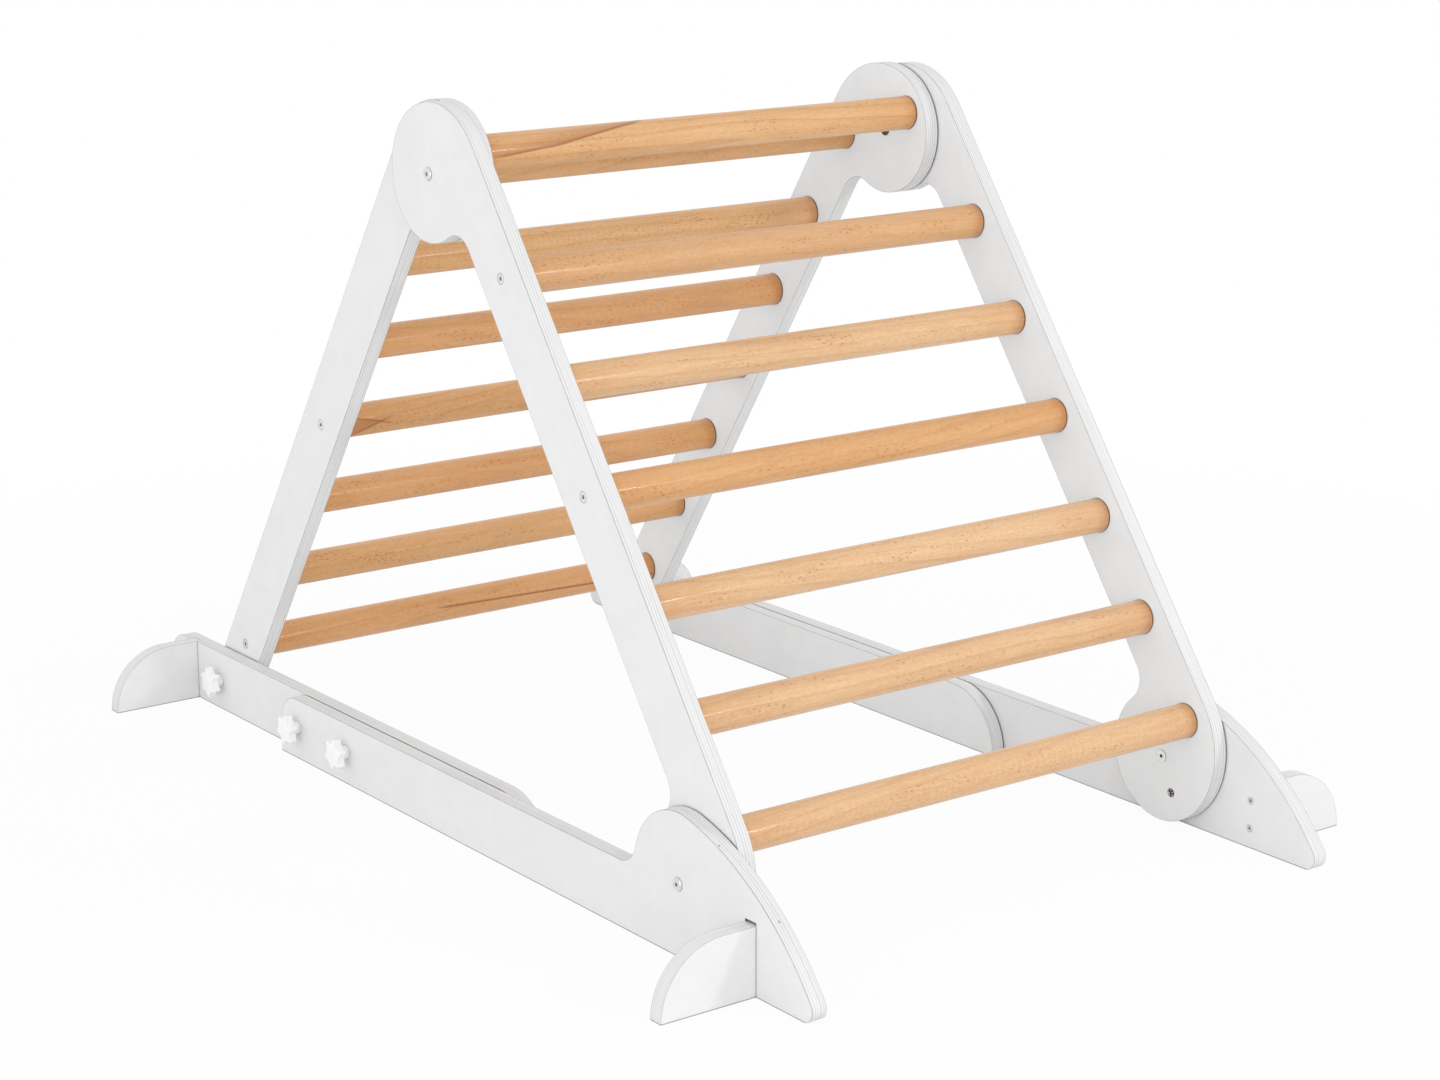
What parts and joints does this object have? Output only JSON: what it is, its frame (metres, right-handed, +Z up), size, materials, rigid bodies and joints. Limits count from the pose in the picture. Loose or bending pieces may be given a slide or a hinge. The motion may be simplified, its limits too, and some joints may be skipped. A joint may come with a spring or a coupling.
{
  "type": "folding climbing triangle",
  "caption": "Folding wooden climbing triangle: two hinged rung ladders standing on two-piece side rails with outrigger feet and star knobs.",
  "frame": {"origin": "on the floor, under the middle of the bounding box", "axes": "+Z up, X along the rungs, -Y towards the front ladder and the noses of the rails, +Y towards the rear ladder"},
  "size_m": [0.96, 1.3914, 0.8343],
  "materials": {
    "painted_plywood": "white painted plywood, satin",
    "beech": "clear satin varnish",
    "white_plastic": "moulded, slightly glossy",
    "washer_plastic": "plain",
    "zinc_steel": "zinc plated",
    "bronzed_steel": "dark brassed"
  },
  "bodies": {
    "front_ladder": {"front_leg_left": "painted_plywood", "front_leg_right": "painted_plywood", "front_rung_1": "beech", "front_rung_2": "beech", "front_rung_3": "beech", "front_rung_4": "beech", "front_rung_5": "beech", "front_rung_6": "beech", "hinge_bolts": "zinc_steel", "hinge_sleeves": "bronzed_steel", "hinge_washers": "washer_plastic", "pivot_bolts": "zinc_steel", "pivot_sleeves": "zinc_steel", "pivot_washers": "washer_plastic", "stop_screws": "bronzed_steel", "front_rung_screws": "zinc_steel"},
    "rear_ladder": {"rear_leg_left": "painted_plywood", "rear_leg_right": "painted_plywood", "top_rung": "beech", "rear_rung_1": "beech", "rear_rung_2": "beech", "rear_rung_3": "beech", "rear_rung_4": "beech", "rear_rung_5": "beech", "rear_rung_6": "beech", "rear_rung_7": "beech", "rear_rung_screws": "zinc_steel", "rear_leg_inserts": "bronzed_steel"},
    "rail_left": {"front_rail_left": "painted_plywood", "rear_rail_left": "painted_plywood", "front_foot_left": "painted_plywood", "rear_foot_left": "painted_plywood", "foot_screws_left": "zinc_steel", "rail_inserts_left": "bronzed_steel", "rail_spacers_left": "washer_plastic"},
    "star_knob_left_1": {"knob_left_1": "white_plastic", "stud_left_1": "zinc_steel"},
    "star_knob_left_2": {"knob_left_2": "white_plastic", "stud_left_2": "zinc_steel"},
    "star_knob_left_3": {"knob_left_3": "white_plastic", "stud_left_3": "zinc_steel"},
    "rail_right": {"front_rail_right": "painted_plywood", "rear_rail_right": "painted_plywood", "front_foot_right": "painted_plywood", "rear_foot_right": "painted_plywood", "foot_screws_right": "zinc_steel", "rail_inserts_right": "bronzed_steel", "rail_spacers_right": "washer_plastic"},
    "star_knob_right_1": {"knob_right_1": "white_plastic", "stud_right_1": "zinc_steel"},
    "star_knob_right_2": {"knob_right_2": "white_plastic", "stud_right_2": "zinc_steel"},
    "star_knob_right_3": {"knob_right_3": "white_plastic", "stud_right_3": "zinc_steel"}
  },
  "joints": [
    {"name": "rear_ladder_fold", "type": "hinge", "parent": "front_ladder", "child": "rear_ladder", "pos_m": [0, 0.01767, 0.7545], "axis": [1, 0, 0], "range_deg": [-69.5, 0]},
    {"name": "rail_fold_left", "type": "hinge", "parent": "front_ladder", "child": "rail_left", "pos_m": [0, -0.47238, 0.08], "axis": [1, 0, 0], "range_deg": [0, 48.5]},
    {"name": "rail_fold_right", "type": "hinge", "parent": "front_ladder", "child": "rail_right", "pos_m": [0, -0.47238, 0.08], "axis": [1, 0, 0], "range_deg": [0, 48.5]},
    {"name": "knob_turn_left_1", "type": "hinge", "parent": "rail_left", "child": "star_knob_left_1", "pos_m": [-0.363, 0.20712, 0.04], "axis": [-1, 0, 0], "continuous": true},
    {"name": "knob_turn_left_2", "type": "hinge", "parent": "rail_left", "child": "star_knob_left_2", "pos_m": [-0.363, 0.32512, 0.04], "axis": [-1, 0, 0], "continuous": true},
    {"name": "knob_turn_left_3", "type": "hinge", "parent": "rail_left", "child": "star_knob_left_3", "pos_m": [-0.3435, 0.56267, 0.038], "axis": [-1, 0, 0], "continuous": true},
    {"name": "knob_turn_right_1", "type": "hinge", "parent": "rail_right", "child": "star_knob_right_1", "pos_m": [0.363, 0.20712, 0.04], "axis": [1, 0, 0], "continuous": true},
    {"name": "knob_turn_right_2", "type": "hinge", "parent": "rail_right", "child": "star_knob_right_2", "pos_m": [0.363, 0.32512, 0.04], "axis": [1, 0, 0], "continuous": true},
    {"name": "knob_turn_right_3", "type": "hinge", "parent": "rail_right", "child": "star_knob_right_3", "pos_m": [0.3435, 0.56267, 0.038], "axis": [1, 0, 0], "continuous": true}
  ]
}
